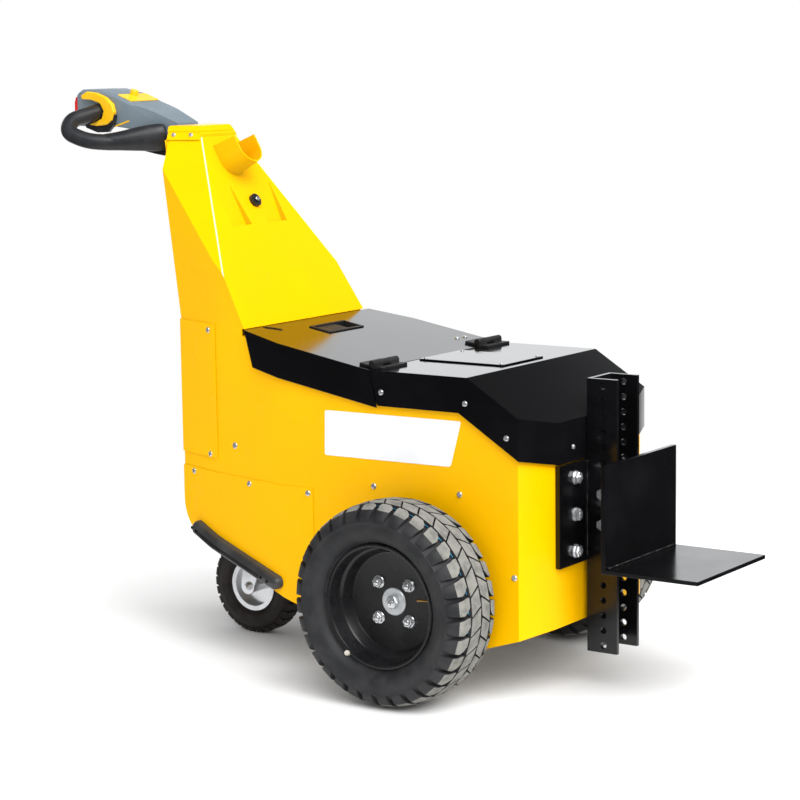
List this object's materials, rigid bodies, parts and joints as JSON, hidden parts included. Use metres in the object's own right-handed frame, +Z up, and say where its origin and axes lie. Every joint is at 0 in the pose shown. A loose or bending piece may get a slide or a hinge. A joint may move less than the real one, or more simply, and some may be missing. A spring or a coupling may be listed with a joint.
{
  "type": "walk-behind electric tug",
  "caption": "Walk-behind electric tug with a yellow sheet-steel body, console tower and tiller head, big drive wheels, a rear caster, a black lid and an adjustable hitch plate.",
  "frame": {"origin": "on the floor under the middle of the machine's bounding box", "axes": "+X ahead towards the hitch plate, +Y to the machine's left, +Z up"},
  "size_m": [1.583, 0.802, 1.1636],
  "materials": {
    "yellow_paint": "smooth gloss powder coat",
    "black_paint": "high gloss black powder coat",
    "black_steel": "satin black paint on thick plate",
    "zinc": "bright zinc plate",
    "rim_paint": "gloss black paint",
    "hub_metal": "machined steel",
    "tyre_rubber": "moulded rubber, worn tread",
    "caster_rubber": "moulded rubber",
    "grip_rubber": "soft satin moulding",
    "grey_plastic": "fine matt moulding",
    "yellow_plastic": "gloss moulding",
    "red_plastic": "gloss moulding",
    "black_plastic": "matt moulding",
    "guard_rubber": "satin extruded rubber",
    "battery_case": "matt case",
    "drive_casting": "painted casting"
  },
  "bodies": {
    "chassis": {"access_plate": "black_paint", "batteries": "battery_case", "battery_tray": "black_steel", "belly_button": "red_plastic", "body_shell": "yellow_paint", "bracket_bolts": "zinc", "bracket_plate": "black_steel", "carriage": "black_steel", "caster_deck": "black_steel", "caster_mount": "zinc", "channel": "black_steel", "console_cap": "yellow_paint", "drive_unit": "drive_casting", "foot_guards": "guard_rubber", "front_cover": "black_paint", "hinge_base": "black_plastic", "hitch_bolts": "zinc", "hitch_plate": "black_steel", "key_switch": "black_plastic", "rear_lower_panel": "yellow_paint", "rear_upper_panel": "yellow_paint", "stop_button": "red_plastic", "stop_shroud": "yellow_paint", "tiller_base": "black_plastic", "tiller_grips": "grip_rubber", "tiller_head": "grey_plastic", "tiller_paddles": "yellow_plastic", "tiller_panel": "yellow_plastic", "tower_back": "yellow_paint"},
    "lid": {"lid": "black_paint", "hinge_leaf": "black_plastic", "lid_pull": "black_plastic"},
    "drive_wheel_left": {"tyre_left": "tyre_rubber", "rim_left": "rim_paint", "hub_left": "hub_metal"},
    "drive_wheel_right": {"tyre_right": "tyre_rubber", "rim_right": "rim_paint", "hub_right": "hub_metal"},
    "caster_fork": {"caster_fork": "zinc"},
    "caster_wheel": {"caster_rim": "zinc", "caster_tyre": "caster_rubber"}
  },
  "joints": [
    {"name": "lid_hinge", "type": "hinge", "parent": "chassis", "child": "lid", "pos_m": [0.128, 0, 0.64], "axis": [0, 1, 0], "range_deg": [0, 100]},
    {"name": "drive_left_spin", "type": "hinge", "parent": "chassis", "child": "drive_wheel_left", "pos_m": [0.2385, 0.326, 0.2], "axis": [0, 1, 0], "continuous": true},
    {"name": "drive_right_spin", "type": "hinge", "parent": "chassis", "child": "drive_wheel_right", "pos_m": [0.2385, -0.326, 0.2], "axis": [0, 1, 0], "continuous": true},
    {"name": "caster_swivel", "type": "hinge", "parent": "chassis", "child": "caster_fork", "pos_m": [-0.2995, 0, 0.23], "axis": [0, 0, 1], "continuous": true},
    {"name": "caster_spin", "type": "hinge", "parent": "caster_fork", "child": "caster_wheel", "pos_m": [-0.3415, 0, 0.105], "axis": [0, 1, 0], "continuous": true}
  ]
}
